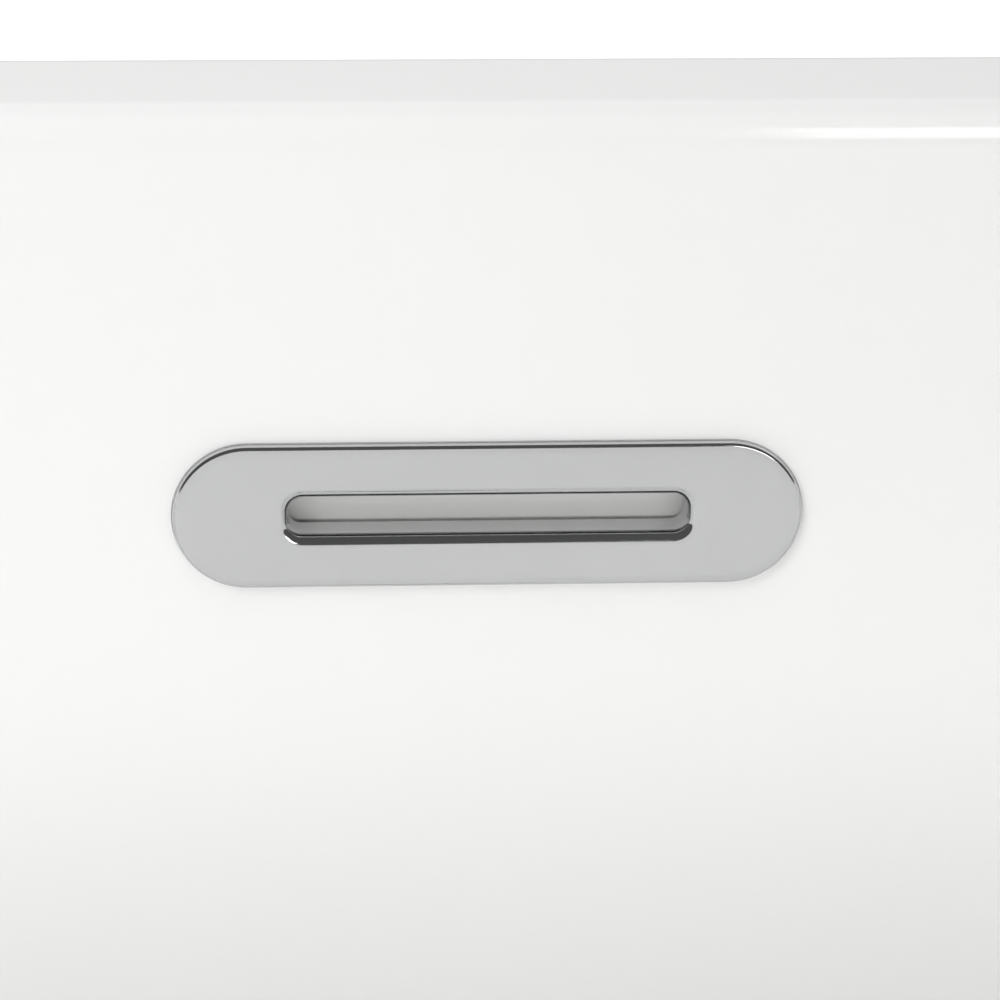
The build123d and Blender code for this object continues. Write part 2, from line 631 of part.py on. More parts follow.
# Drain tee: takes the drain's tube above, the overflow hose at its side and the tailpiece below
tee_body = turned(
    (TAIL_NECK + HOLE_GAP, COLLAR_END),
    (COLLAR_RADIUS, COLLAR_END),
    (COLLAR_RADIUS, TEE_FLOOR - 3),
    (TEE_RADIUS, TEE_FLOOR),
    (TEE_RADIUS, TEE_TOP),
    (DRAIN_RADIUS + THREAD_GAP, TEE_TOP),
    (DRAIN_RADIUS + THREAD_GAP, TUBE_END - 1),
    (TAIL_RADIUS + 1, TUBE_END - 3),
    (TAIL_NECK + HOLE_GAP, TEE_FLOOR),
)
port_plane = Plane((0, TAIL_RADIUS + 3, PORT_Z), x_dir=(1, 0, 0), z_dir=(0, 1, 0))
with BuildPart() as drain_tee:
    add(tee_body)
    with BuildSketch(port_plane):
        Circle(SPIGOT_RADIUS)
    extrude(amount=PORT_END - TAIL_RADIUS - 3)
    with BuildSketch(port_plane.offset(-8)):
        Circle(SPIGOT_RADIUS - SPIGOT_WALL)
    extrude(amount=PORT_END - TAIL_RADIUS + 5, mode=Mode.SUBTRACT)
save(drain_tee.part, "drain_tee")

save(
    turned(
        (TAIL_BORE, TAIL_END),
        (TAIL_RADIUS, TAIL_END),
        (TAIL_RADIUS, TAIL_SHOULDER),
        (TAIL_NECK, TAIL_SHOULDER),
        (TAIL_NECK, TEE_FLOOR - 2),
        (TAIL_BORE, TEE_FLOOR - 2),
    ),
    "tailpiece",
)
save(
    turned(
        (TAIL_NECK, WASHER_BOTTOM),
        (COLLAR_RADIUS - 0.5, WASHER_BOTTOM),
        (COLLAR_RADIUS - 0.5, COLLAR_END),
        (TAIL_NECK, COLLAR_END),
    ),
    "tailpiece_washer",
)
with BuildPart() as slip_nut:
    with BuildSketch(Plane.XY.offset(WASHER_BOTTOM - 3)):
        RegularPolygon(SLIP_NUT_FLATS / 2, 8, major_radius=False)
    extrude(amount=SLIP_NUT_HEIGHT)
    with Locations((0, 0, WASHER_BOTTOM)):
        Cylinder(
            COLLAR_RADIUS + THREAD_GAP,
            SLIP_NUT_HEIGHT,
            align=(Align.CENTER, Align.CENTER, Align.MIN),
            mode=Mode.SUBTRACT,
        )
        Cylinder(TAIL_NECK + 0.3, SLIP_NUT_HEIGHT, mode=Mode.SUBTRACT)
save(slip_nut.part, "slip_nut")

# Pop-up plug: cap, seal and stem move together in the fixed cartridge, over its spring
save(
    turned(
        (0, HUB_Z - 4),
        (HUB_BORE - THREAD_GAP, HUB_Z - 4),
        (HUB_BORE - THREAD_GAP, HUB_Z + HUB_HEIGHT),
        (CARTRIDGE_RADIUS, HUB_Z + HUB_HEIGHT),
        (CARTRIDGE_RADIUS, CARTRIDGE_TOP),
        (STEM_RADIUS + THREAD_GAP, CARTRIDGE_TOP),
        (STEM_RADIUS + THREAD_GAP, SPRING_SEAT),
        (0, SPRING_SEAT),
    ),
    "plug_cartridge",
)
save(turned((0, STEM_FOOT), (STEM_RADIUS, STEM_FOOT), (STEM_RADIUS, CAP_UNDER + 1), (0, CAP_UNDER + 1)), "plug_stem")

with BuildPart() as plug_cap:
    with BuildSketch(Plane.XZ):
        with BuildLine():
            edge_z = CAP_UNDER + 2.4
            crown_middle = (CAP_RADIUS * 0.55, CAP_UNDER + CAP_HEIGHT - 0.8)
            crown = ThreePointArc((0, CAP_UNDER + CAP_HEIGHT), crown_middle, (CAP_RADIUS - 1, edge_z))
            ThreePointArc(crown @ 1, (CAP_RADIUS, edge_z - 1.2), (CAP_RADIUS - 1, CAP_UNDER))
            Polyline(
                (CAP_RADIUS - 1, CAP_UNDER),
                (CAP_BOSS_RADIUS, CAP_UNDER),
                (CAP_BOSS_RADIUS, CAP_UNDER - CAP_HEIGHT),
                (STEM_RADIUS, CAP_UNDER - CAP_HEIGHT),
                (STEM_RADIUS, CAP_UNDER + 1),
                (0, CAP_UNDER + 1),
                (0, CAP_UNDER + CAP_HEIGHT),
            )
        make_face()
    revolve(axis=Axis.Z)
save(plug_cap.part, "plug_cap")

save(
    turned(
        (24, seat_z + 0.1),
        (29, seat_z + 0.1),
        (28, CAP_UNDER),
        (CAP_BOSS_RADIUS, CAP_UNDER),
        (CAP_BOSS_RADIUS, CAP_UNDER - 1),
    ),
    "plug_seal",
)

spring_bottom = SPRING_SEAT + SPRING_WIRE + 0.05
spring_height = STEM_FOOT - SPRING_SEAT - 2 * SPRING_WIRE - 0.1
with BuildPart() as plug_spring:
    with BuildLine(Plane.XY.offset(spring_bottom)) as coil:
        Helix(pitch=spring_height / SPRING_TURNS, height=spring_height, radius=SPRING_COIL)
    with BuildSketch(Plane(coil.line @ 0, z_dir=coil.line % 0)):
        Circle(SPRING_WIRE)
    sweep(path=coil.line, is_frenet=True)
save(plug_spring.part, "plug_spring")
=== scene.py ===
import math

import bmesh
import bpy
from mathutils import Matrix, Quaternion, Vector


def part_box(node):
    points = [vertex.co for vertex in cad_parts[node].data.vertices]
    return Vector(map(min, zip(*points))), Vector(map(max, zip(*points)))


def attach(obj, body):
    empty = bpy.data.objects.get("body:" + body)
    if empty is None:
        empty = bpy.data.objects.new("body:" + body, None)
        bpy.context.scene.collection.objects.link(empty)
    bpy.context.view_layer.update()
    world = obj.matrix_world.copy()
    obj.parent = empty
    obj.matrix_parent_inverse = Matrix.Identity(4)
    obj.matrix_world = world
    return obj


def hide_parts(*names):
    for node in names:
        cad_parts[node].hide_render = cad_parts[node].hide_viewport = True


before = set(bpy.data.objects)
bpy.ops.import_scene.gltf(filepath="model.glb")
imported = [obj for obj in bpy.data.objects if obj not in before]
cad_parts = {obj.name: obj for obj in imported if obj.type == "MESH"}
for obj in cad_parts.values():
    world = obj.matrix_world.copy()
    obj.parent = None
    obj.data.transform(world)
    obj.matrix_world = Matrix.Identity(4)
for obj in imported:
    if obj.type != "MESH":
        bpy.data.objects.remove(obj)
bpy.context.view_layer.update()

# --------------------------------------------------------------------------------------------------
# Basin: the inner shell of the tub, one sheet of cast white acrylic, heated and drawn down over a mould.
# The rim is 5 mm thick with a turned-down lip. The walls follow one cubic curve from the rim to the floor.
# It rests on the base board and hangs nothing: the overflow and the drain are cut through it afterwards.
# --------------------------------------------------------------------------------------------------
MM = 0.001
basin_low, basin_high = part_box("basin")
TUB_HALF_LENGTH = basin_high.x
TUB_HALF_WIDTH = basin_high.y
RIM_Z = basin_high.z
RIM_WIDTH = 38 * MM
RIM_CORNER = 170 * MM
RIM_THICKNESS = 5 * MM
LIP_HEIGHT = 20 * MM
WALL = 5 * MM
FLOOR_Z = 140 * MM
WALL_Z = (RIM_Z, 0.262, FLOOR_Z, FLOOR_Z)
WALL_BACK_Z = (RIM_Z, 0.262, FLOOR_Z - WALL, FLOOR_Z - WALL)
WALL_HALF_LENGTH = (0.812, 0.662, 0.610, 0.540)
WALL_HALF_WIDTH = (0.362, 0.308, 0.292, 0.215)
WALL_CORNER = (0.132, 0.150, 0.165, 0.150)


def on_curve(controls, t):
    """The value at t, from 0 at the rim to 1 at the floor, of a cubic curve with these four control values."""
    a, b, c, d = controls
    return a * (1 - t) ** 3 + 3 * b * (1 - t) ** 2 * t + 3 * c * (1 - t) * t**2 + d * t**3


def steps(first, last, count):
    """Evenly spaced values from first up to, but not including, last."""
    return [first + (last - first) * i / count for i in range(count)]


def outline_stations(middle, straight, corner, end, middle_length=0.0):
    """The stations round a rounded rectangle, from the middle of its +Y side towards +X, all the way round.

    Each is five weights: of the middle stretch's length, the rest of the straight and the corner in X, and of
    the end's straight and the corner in Y. Their counts are for a quarter of the outline.
    """
    quarter = [(s, 0, 0, 1, 1) for s in steps(0, 1, middle)]
    quarter += [(1 if middle_length else 0, s, 0, 1, 1) for s in steps(0, 1, straight)]
    for angle in steps(0, math.pi / 2, corner):
        quarter.append((1 if middle_length else 0, 1, math.sin(angle), 1, math.cos(angle)))
    quarter += [(1 if middle_length else 0, 1, 1, 1 - s, 0) for s in steps(0, 1, end)]
    side = [(1 if middle_length else 0, 1, 1, 0, 0)]
    down = [(a, b, c, -d, -e) for a, b, c, d, e in reversed(quarter)]
    back = [(-a, -b, -c, -d, -e) for a, b, c, d, e in quarter[1:] + side]
    up = [(-a, -b, -c, d, e) for a, b, c, d, e in reversed(quarter[1:])]
    return quarter + side + down + back + up


def outline_point(station, half_length, half_width, corner, middle_length=0.0):
    """Where a station lies, in X and Y, on a rounded rectangle of this size."""
    a, b, c, d, e = station
    return (
        a * middle_length + b * (half_length - corner - middle_length) + c * corner,
        d * (half_width - corner) + e * corner,
    )


def start_ring(bm, points):
    """A closed ring of edges through these points, whose vertices carry their station's and ring's numbers."""
    station = bm.verts.layers.int["station"]
    ring = bmesh.ops.create_circle(bm, segments=len(points), radius=1)["verts"]
    for i, vert in enumerate(ring):
        vert[station] = i
        vert.co = points[i]
    return list({edge for vert in ring for edge in vert.link_edges})


def next_ring(bm, edges, points, number=0):
    """Extrudes a ring of edges, and moves each new vertex to the point its station's number gives."""
    station = bm.verts.layers.int["station"]
    ring = bm.verts.layers.int["ring"]
    grown = bmesh.ops.extrude_edge_only(bm, edges=edges)["geom"]
    for vert in grown:
        if isinstance(vert, bmesh.types.BMVert):
            vert.co = points[vert[station]]
            vert[ring] = number
    return [edge for edge in grown if isinstance(edge, bmesh.types.BMEdge)]


def skin(bm, rings):
    """One skin through rings of matching points, from the first ring round to the last."""
    bm.verts.layers.int.new("station")
    bm.verts.layers.int.new("ring")
    edges = start_ring(bm, rings[0])
    for number, points in enumerate(rings[1:], 1):
        edges = next_ring(bm, edges, points, number)


MERGE_DISTANCE = 0.02 * MM
SHARP_ANGLE = math.radians(35)


def close_rings(bm):
    """Joins the last ring to the first where they meet, and points all faces outwards."""
    bmesh.ops.remove_doubles(bm, verts=bm.verts, dist=MERGE_DISTANCE)
    bmesh.ops.recalc_face_normals(bm, faces=bm.faces)


def finish_piece(bm, name, body, replaced, material):
    """Makes the mesh a smooth-shaded piece that rides on its body and stands for its CAD node."""
    mesh = bpy.data.meshes.new(name)
    bm.to_mesh(mesh)
    bm.free()
    mesh.shade_smooth()
    mesh.set_sharp_from_angle(angle=SHARP_ANGLE)
    mesh.materials.append(material)
    piece = bpy.data.objects.new(name, mesh)
    bpy.context.scene.collection.objects.link(piece)
    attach(piece, body)
    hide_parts(*replaced)


def new_material(name, color, roughness, metallic=0.0):
    """A material with a Principled shader, ready for its own nodes: returns it, its tree and the shader."""
    material = bpy.data.materials.new(name)
    material.use_nodes = True
    tree = material.node_tree
    shader = tree.nodes["Principled BSDF"]
    shader.inputs["Base Color"].default_value = (*color, 1)
    shader.inputs["Roughness"].default_value = roughness
    shader.inputs["Metallic"].default_value = metallic
    return material, tree, shader


def node_group(name, inputs, outputs):
    """An empty shader node group with these named sockets: inputs as (name, type, default)."""
    group = bpy.data.node_groups.new(name, "ShaderNodeTree")
    for label, kind, value in inputs:
        socket = group.interface.new_socket(label, in_out="INPUT", socket_type="NodeSocket" + kind)
        socket.default_value = value
    for label, kind in outputs:
        group.interface.new_socket(label, in_out="OUTPUT", socket_type="NodeSocket" + kind)
    return group, group.nodes.new("NodeGroupInput"), group.nodes.new("NodeGroupOutput")


def add_node(tree, kind, **values):
    """A node of this kind with its input sockets set by name."""
    node = tree.nodes.new("ShaderNode" + kind)
    for label, value in values.items():
        node.inputs[label.replace("_", " ")].default_value = value
    return node


def two_tone_group():
    """Colour, roughness and height that drift over the surface, at a broad and a fine scale."""
    group, given, out = node_group(
        "surface_drift",
        [
            ("Color", "Color", (0.8, 0.8, 0.8, 1)),
            ("Second Color", "Color", (0.7, 0.7, 0.7, 1)),
            ("Scale", "Float", 12.0),
            ("Fine Scale", "Float", 220.0),
            ("Roughness", "Float", 0.3),
            ("Roughness Drift", "Float", 0.1),
        ],
        [("Color", "Color"), ("Roughness", "Float"), ("Height", "Float")],
    )
    link = group.links.new
    place = group.nodes.new("ShaderNodeTexCoord")
    broad = add_node(group, "TexNoise", Detail=3.0)
    link(place.outputs["Object"], broad.inputs["Vector"])
    link(given.outputs["Scale"], broad.inputs["Scale"])
    fine = add_node(group, "TexNoise", Detail=4.0)
    link(place.outputs["Object"], fine.inputs["Vector"])
    link(given.outputs["Fine Scale"], fine.inputs["Scale"])
    blend = group.nodes.new("ShaderNodeMix")
    blend.data_type = "RGBA"
    link(broad.outputs["Fac"], blend.inputs["Factor"])
    link(given.outputs["Color"], blend.inputs["A"])
    link(given.outputs["Second Color"], blend.inputs["B"])
    link(blend.outputs["Result"], out.inputs["Color"])
    centred = group.nodes.new("ShaderNodeMath")
    centred.operation = "SUBTRACT"
    centred.inputs[1].default_value = 0.5
    link(fine.outputs["Fac"], centred.inputs[0])
    scaled = group.nodes.new("ShaderNodeMath")
    scaled.operation = "MULTIPLY_ADD"
    link(centred.outputs["Value"], scaled.inputs[0])
    link(given.outputs["Roughness Drift"], scaled.inputs[1])
    link(given.outputs["Roughness"], scaled.inputs[2])
    link(scaled.outputs["Value"], out.inputs["Roughness"])
    link(fine.outputs["Fac"], out.inputs["Height"])
    return group


surface_drift = two_tone_group()


def drift_material(name, color, second, scale, fine, roughness, drift, metallic=0.0, bump=0.0, depth=0.0001):
    """A material whose colour and roughness drift, with an optional fine bump."""
    material, tree, shader = new_material(name, color, roughness, metallic)
    group = tree.nodes.new("ShaderNodeGroup")
    group.node_tree = surface_drift
    group.inputs["Color"].default_value = (*color, 1)
    group.inputs["Second Color"].default_value = (*second, 1)
    group.inputs["Scale"].default_value = scale
    group.inputs["Fine Scale"].default_value = fine
    group.inputs["Roughness"].default_value = roughness
    group.inputs["Roughness Drift"].default_value = drift
    tree.links.new(group.outputs["Color"], shader.inputs["Base Color"])
    tree.links.new(group.outputs["Roughness"], shader.inputs["Roughness"])
    if bump:
        relief = add_node(tree, "Bump", Strength=bump, Distance=depth)
        tree.links.new(group.outputs["Height"], relief.inputs["Height"])
        tree.links.new(relief.outputs["Normal"], shader.inputs["Normal"])
    return material, shader


acrylic, acrylic_shader = drift_material(
    "acrylic_white", (0.93, 0.93, 0.925), (0.915, 0.915, 0.91),
    scale=9, fine=70, roughness=0.09, drift=0.03, bump=0.02, depth=0.0002,
)
acrylic_shader.inputs["IOR"].default_value = 1.49

# Where the overflow is cut: a patch of the +Y wall, in rows down it and columns along it
PATCH_HALF_LENGTH = 110 * MM
PATCH_COLUMNS = 13
PATCH_ROWS = 12
PATCH_TOP_T = 0.085
PATCH_BOTTOM_T = 0.169
OVERFLOW_T = 0.1245
LANDING_DEPTH = 0.4 * MM
LANDING_MARGIN = 0.2 * MM
PLATE_HALF_LENGTH = 85 * MM
PLATE_HALF_HEIGHT = 20 * MM

RIM_ROUND = 7 * MM
WALL_ROUND = 30 * MM
ROUND_JOINT = math.radians(24)
ROUND_DEPTH = 12 * MM
OUTER_ROUND = 4 * MM
LIP_CHAMFER = 0.3 * MM
HALVINGS = 50
BASIN_STATIONS = outline_stations(PATCH_COLUMNS, 16, 16, 10, PATCH_HALF_LENGTH)


def t_at(z, heights=WALL_Z):
    """How far down a curve of heights this one is: the wall's inside face or, with its heights, its back."""
    low, high = 0.0, 1.0
    for _ in range(HALVINGS):
        middle = (low + high) / 2
        low, high = (middle, high) if on_curve(heights, middle) > z else (low, middle)
    return low


def basin_point(station, half_length, half_width, corner, z):
    return Vector((*outline_point(station, half_length, half_width, corner, PATCH_HALF_LENGTH), z))


def rim_ring(z, inset):
    """A ring at this height that follows the rim's outer edge at an inset."""
    return [
        basin_point(s, TUB_HALF_LENGTH - inset, TUB_HALF_WIDTH - inset, RIM_CORNER - inset, z)
        for s in BASIN_STATIONS
    ]


def wall_ring(t, heights=WALL_Z, grow=0.0):
    """A ring on the wall at t, on its inside face or, grown, on its back."""
    sizes = [on_curve(curve, t) + grow for curve in (WALL_HALF_LENGTH, WALL_HALF_WIDTH, WALL_CORNER)]
    return [basin_point(s, *sizes, on_curve(heights, t)) for s in BASIN_STATIONS]


def rounded_half(controls, depth):
    """The half size at a depth under the rim, where a tight round and then a slack one join the rim to the wall."""
    slope = (controls[0] - controls[1]) / (WALL_Z[0] - WALL_Z[1])
    tilt = math.atan(slope)
    joint = max(ROUND_JOINT, tilt)
    slack = WALL_ROUND - RIM_ROUND
    slack_depth = RIM_ROUND + slack * math.sin(joint)
    end_depth = slack_depth - WALL_ROUND * math.sin(tilt)
    if depth >= end_depth:
        return on_curve(controls, t_at(RIM_Z - depth))
    slack_half = controls[0] - slope * end_depth + WALL_ROUND * math.cos(tilt)
    if depth > RIM_ROUND * (1 - math.sin(joint)):
        return slack_half - math.sqrt(WALL_ROUND**2 - (slack_depth - depth) ** 2)
    tight_half = slack_half - slack * math.cos(joint)
    return tight_half - math.sqrt(RIM_ROUND**2 - (RIM_ROUND - depth) ** 2)


def roundover_ring(depth):
    half_length = rounded_half(WALL_HALF_LENGTH, depth)
    half_width = rounded_half(WALL_HALF_WIDTH, depth)
    t = t_at(RIM_Z - depth)
    corner = on_curve(WALL_CORNER, t) + half_width - on_curve(WALL_HALF_WIDTH, t)
    return [basin_point(s, half_length, half_width, corner, RIM_Z - depth) for s in BASIN_STATIONS]


floor_ring = wall_ring(1)
FLOOR_ANGLES = [math.atan2(p.y / WALL_HALF_WIDTH[3], p.x / WALL_HALF_LENGTH[3]) for p in floor_ring]


def round_ring(radius, z):
    """A circle about the drain, with a vertex for each station."""
    return [Vector((radius * math.cos(a), radius * math.sin(a), z)) for a in FLOOR_ANGLES]


def mixed_ring(first, second, share):
    return [a.lerp(b, share) for a, b in zip(first, second)]


OUTER_ROUND_RINGS = 6
TIGHT_ROUND_RINGS = 10
SLACK_ROUND_RINGS = 7
UPPER_WALL_RINGS = 8
LOWER_WALL_RINGS = 44
SUMP_ROUND_RINGS = 5
BACK_RINGS = 20
BACK_TOP_RINGS = 3
SUMP_RADIUS = 50 * MM
SUMP_ROUND = 1.4 * MM
SUMP_Z = FLOOR_Z - 3 * MM
DRAIN_HOLE = 26 * MM
BOSS_RADIUS = 55 * MM
lip_z = RIM_Z - LIP_HEIGHT
basin_rings = [rim_ring(lip_z, LIP_CHAMFER), rim_ring(lip_z + LIP_CHAMFER, 0)]
basin_rings.append(rim_ring(RIM_Z - OUTER_ROUND, 0))
for angle in steps(0, math.pi / 2, OUTER_ROUND_RINGS)[1:]:
    rise = OUTER_ROUND * (1 - math.sin(angle))
    basin_rings.append(rim_ring(RIM_Z - rise, OUTER_ROUND * (1 - math.cos(angle))))
basin_rings += [rim_ring(RIM_Z, OUTER_ROUND), rim_ring(RIM_Z, OUTER_ROUND + MM)]
flat_end = roundover_ring(0)
flat_start = rim_ring(RIM_Z, OUTER_ROUND + MM)
basin_rings += [mixed_ring(flat_start, flat_end, 0.5), mixed_ring(flat_start, flat_end, 0.96)]
for angle in steps(0, math.pi / 2 - ROUND_JOINT, TIGHT_ROUND_RINGS):
    basin_rings.append(roundover_ring(RIM_ROUND * (1 - math.cos(angle))))
tight_depth = RIM_ROUND * (1 - math.sin(ROUND_JOINT))
slack_depths = steps(tight_depth, ROUND_DEPTH, SLACK_ROUND_RINGS)
basin_rings += [roundover_ring(depth) for depth in slack_depths]
first_wall_t = t_at(RIM_Z - ROUND_DEPTH)
patch_first = len(basin_rings) + UPPER_WALL_RINGS
wall_shares = steps(first_wall_t, PATCH_TOP_T, UPPER_WALL_RINGS)
wall_shares += steps(PATCH_TOP_T, PATCH_BOTTOM_T, PATCH_ROWS)
wall_shares += steps(PATCH_BOTTOM_T, 1, LOWER_WALL_RINGS) + [1]
basin_rings += [wall_ring(t) for t in wall_shares]
sump_edge = round_ring(SUMP_RADIUS + SUMP_ROUND + MM, FLOOR_Z)
basin_rings += [mixed_ring(floor_ring, sump_edge, share) for share in (0.02, 0.2, 0.4, 0.6, 0.8, 1)]
for angle in steps(0, math.pi / 2, SUMP_ROUND_RINGS):
    run = SUMP_ROUND * (1 - math.sin(angle))
    basin_rings.append(round_ring(SUMP_RADIUS + run, FLOOR_Z - SUMP_ROUND * (1 - math.cos(angle))))
basin_rings += [round_ring(SUMP_RADIUS, SUMP_Z), round_ring(SUMP_RADIUS - MM, SUMP_Z)]
basin_rings += [round_ring(DRAIN_HOLE, SUMP_Z), round_ring(DRAIN_HOLE, SUMP_Z - WALL)]
basin_rings += [round_ring(BOSS_RADIUS, SUMP_Z - WALL), round_ring(BOSS_RADIUS, FLOOR_Z - WALL)]
back_patch_first = len(basin_rings) + BACK_RINGS
back_top_t = t_at(RIM_Z - RIM_THICKNESS)
back_shares = steps(1, PATCH_BOTTOM_T, BACK_RINGS)
back_shares += steps(PATCH_BOTTOM_T, PATCH_TOP_T, PATCH_ROWS)
back_shares += steps(PATCH_TOP_T, back_top_t, BACK_TOP_RINGS) + [back_top_t]
basin_rings += [wall_ring(t, WALL_BACK_Z, WALL) for t in back_shares]
basin_rings += [rim_ring(RIM_Z - RIM_THICKNESS, WALL), rim_ring(lip_z, WALL), basin_rings[0]]


def patch_outline(top_ring, step):
    """The ring and station of each vertex round the patch, from the middle of its top edge towards +X."""
    rings = [top_ring + step * row for row in range(PATCH_ROWS + 1)]
    outline = [(rings[0], i) for i in range(PATCH_COLUMNS)]
    outline += [(ring, PATCH_COLUMNS) for ring in rings[:-1]]
    outline += [(rings[-1], i) for i in range(PATCH_COLUMNS, -PATCH_COLUMNS, -1)]
    outline += [(ring, -PATCH_COLUMNS) for ring in reversed(rings[1:])]
    return outline + [(rings[0], i) for i in range(-PATCH_COLUMNS, 0)]


def open_patch(bm, outline):
    """Takes out the faces inside the outline, and numbers the vertices on it in the outline's order."""
    station = bm.verts.layers.int["station"]
    ring = bm.verts.layers.int["ring"]
    order = {(row, i % len(BASIN_STATIONS)): place for place, (row, i) in enumerate(outline)}
    rows = [row for row, _ in outline]
    inside = {i % len(BASIN_STATIONS) for i in range(-PATCH_COLUMNS, PATCH_COLUMNS + 1)}
    patch = [
        face
        for face in bm.faces
        if all(min(rows) <= v[ring] <= max(rows) and v[station] in inside for v in face.verts)
    ]
    bmesh.ops.delete(bm, geom=patch, context="FACES")
    bounds = [
        edge
        for edge in bm.edges
        if edge.is_boundary and all((v[ring], v[station]) in order for v in edge.verts)
    ]
    for vert in {vert for edge in bounds for vert in edge.verts}:
        vert[station] = order[vert[ring], vert[station]]
    return bounds


def curve_slope(controls, t):
    """How fast the cubic curve with these control values changes at t."""
    a, b, c, d = controls
    return 3 * ((b - a) * (1 - t) ** 2 + 2 * (c - b) * (1 - t) * t + (d - c) * t**2)


OVERFLOW_STATIONS = outline_stations(0, 5, 14, 0)
wall_tilt = math.atan2(-curve_slope(WALL_HALF_WIDTH, OVERFLOW_T), -curve_slope(WALL_Z, OVERFLOW_T))
WALL_OUT = Vector((0, -math.cos(wall_tilt), math.sin(wall_tilt)))
WALL_UP = Vector((0, math.sin(wall_tilt), math.cos(wall_tilt)))
ALONG = Vector((1, 0, 0))
wall_point = Vector((0, on_curve(WALL_HALF_WIDTH, OVERFLOW_T), on_curve(WALL_Z, OVERFLOW_T)))
LANDING = wall_point - WALL_OUT * LANDING_DEPTH
WALL_AT_LANDING = 4.2 * MM
BACK_HALF_LENGTH = 86 * MM
BACK_HALF_HEIGHT = 33 * MM


def landing_ring(stations, half_length, half_height, corner, out):
    """A rounded rectangle in the overflow's own frame, at a distance out of the wall."""
    ring = []
    for station in stations:
        along, up = outline_point(station, half_length, half_height, corner)
        ring.append(LANDING + ALONG * along + WALL_UP * up + WALL_OUT * out)
    return ring


def on_wall(ring, grow=0.0, sunk=0.0):
    """The ring's points moved in Y onto the wall's inside face or, grown, onto its back, then sunk into it."""
    moved = []
    for point in ring:
        t = t_at(point.z, WALL_BACK_Z if grow else WALL_Z)
        moved.append(Vector((point.x, on_curve(WALL_HALF_WIDTH, t) + grow, point.z)) - WALL_OUT * sunk)
    return moved


LANDING_HALF_LENGTH = PLATE_HALF_LENGTH + LANDING_MARGIN
LANDING_HALF_HEIGHT = PLATE_HALF_HEIGHT + LANDING_MARGIN
LANDING_ROUND = 0.15 * MM
LANDING_SINK = 0.2 * MM
SUPPORT_GROWTHS = (6 * MM, 1 * MM, 0)
wide = (LANDING_HALF_LENGTH + LANDING_ROUND, LANDING_HALF_HEIGHT + LANDING_ROUND)
landing_size = (LANDING_HALF_LENGTH, LANDING_HALF_HEIGHT, LANDING_HALF_HEIGHT)
hole_size = (59 * MM, 10.25 * MM, 8 * MM)
back_size = (BACK_HALF_LENGTH, BACK_HALF_HEIGHT, 12 * MM)
wall_rings = [
    on_wall(landing_ring(OVERFLOW_STATIONS, wide[0] + grow, wide[1] + grow, wide[1] + grow, 0))
    for grow in SUPPORT_GROWTHS
]
wall_rings += [
    on_wall(landing_ring(OVERFLOW_STATIONS, *landing_size, 0), sunk=LANDING_SINK),
    landing_ring(OVERFLOW_STATIONS, *landing_size, 0),
    landing_ring(OVERFLOW_STATIONS, *hole_size, 0),
    landing_ring(OVERFLOW_STATIONS, *hole_size, -WALL_AT_LANDING),
    landing_ring(OVERFLOW_STATIONS, *back_size, -WALL_AT_LANDING),
    on_wall(landing_ring(OVERFLOW_STATIONS, *back_size, -WALL_AT_LANDING), grow=WALL),
]
bm = bmesh.new()
skin(bm, basin_rings)
close_rings(bm)
edge_ring = open_patch(bm, patch_outline(patch_first, 1))
for points in wall_rings:
    edge_ring = next_ring(bm, edge_ring, points)
back_edges = open_patch(bm, patch_outline(back_patch_first + PATCH_ROWS, -1))
station = bm.verts.layers.int["station"]
back_points = {v[station]: v.co.copy() for edge in back_edges for v in edge.verts}
next_ring(bm, edge_ring, back_points)
close_rings(bm)
finish_piece(bm, "basin_shell", "tub", ["basin"], acrylic)

# --------------------------------------------------------------------------------------------------
# Skirt: the outer shell of the tub, a second sheet of the same white acrylic, trimmed and glued to the basin.
# A tongue at its top laps up behind the rim's lip, and its foot is turned in. Blocks bonded inside hold it.
# --------------------------------------------------------------------------------------------------
SKIRT_Z = (0.5585, 0.375, 0.190, 0.008)
SKIRT_HALF_LENGTH = (0.850, 0.848, 0.824, 0.788)
SKIRT_HALF_WIDTH = (0.400, 0.398, 0.378, 0.342)
SKIRT_CORNER = (0.170, 0.170, 0.165, 0.158)
SKIRT_WALL = 4 * MM
SKIRT_STATIONS = outline_stations(0, 12, 18, 6)
SKIRT_RINGS = 36
WEB_THICKNESS = 4 * MM
TONGUE_HEIGHT = 12 * MM
TONGUE_OUTSIDE = 5.3 * MM
TONGUE_INSIDE = 8.3 * MM
FOOT_FLANGE = 16 * MM


def skirt_ring(t, inset=0.0, z=None):
    """A ring at an inset from the skirt's outside face at t, at that height or another."""
    half_length = on_curve(SKIRT_HALF_LENGTH, t) - inset
    half_width = on_curve(SKIRT_HALF_WIDTH, t) - inset
    corner = on_curve(SKIRT_CORNER, t) - inset
    height = on_curve(SKIRT_Z, t) if z is None else z
    return [Vector((*outline_point(s, half_length, half_width, corner), height)) for s in SKIRT_STATIONS]


